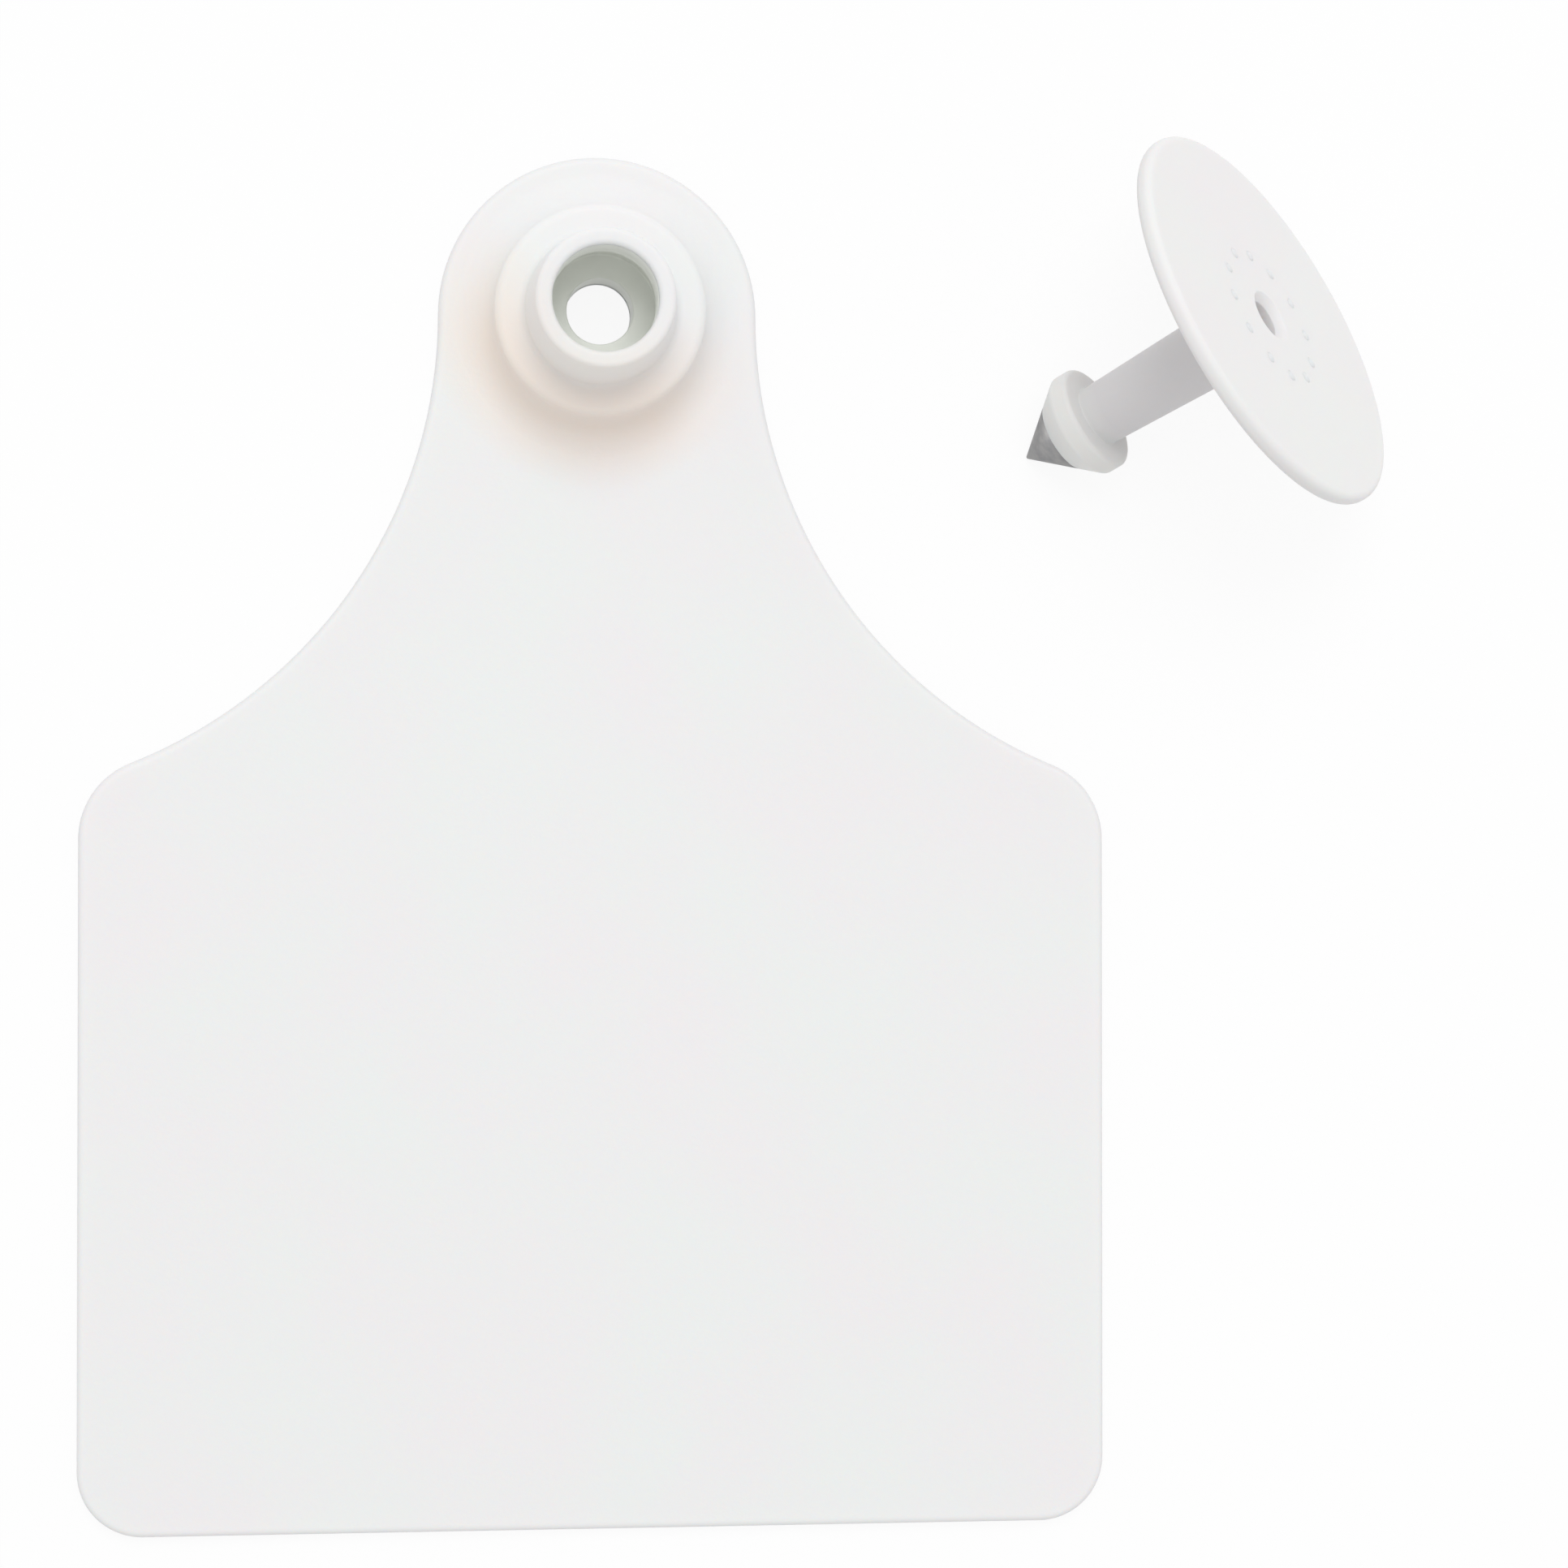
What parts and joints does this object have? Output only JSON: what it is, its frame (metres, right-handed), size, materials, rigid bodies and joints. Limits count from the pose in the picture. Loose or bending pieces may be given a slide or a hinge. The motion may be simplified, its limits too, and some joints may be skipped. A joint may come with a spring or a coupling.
{
  "type": "livestock ear tag",
  "caption": "Livestock ear tag: a broad flag with a snap socket on its neck, and a button whose barbed, metal-pointed stud locks into the socket through the ear.",
  "frame": {"origin": "on the socket's axis, at the flag's back face, which is the face that lies against the animal's ear", "axes": "+Z out of the flag's front, along the socket towards the open end of the boss; +Y from the flag's foot towards the round end of its neck; +X to the right seen from the front"},
  "size_m": [0.0965, 0.1025, 0.0251],
  "materials": {
    "soft_plastic": "soft white polyurethane with a fine moulded grain",
    "bush_plastic": "hard grey-green plastic, smooth",
    "stud_plastic": "white polyurethane, smooth disc and stud",
    "point_metal": "dull dark metal, lightly ground"
  },
  "bodies": {
    "root": {"tag_panel": "soft_plastic", "locking_bush": "bush_plastic", "stud_button": "stud_plastic", "piercing_point": "point_metal"}
  },
  "joints": []
}
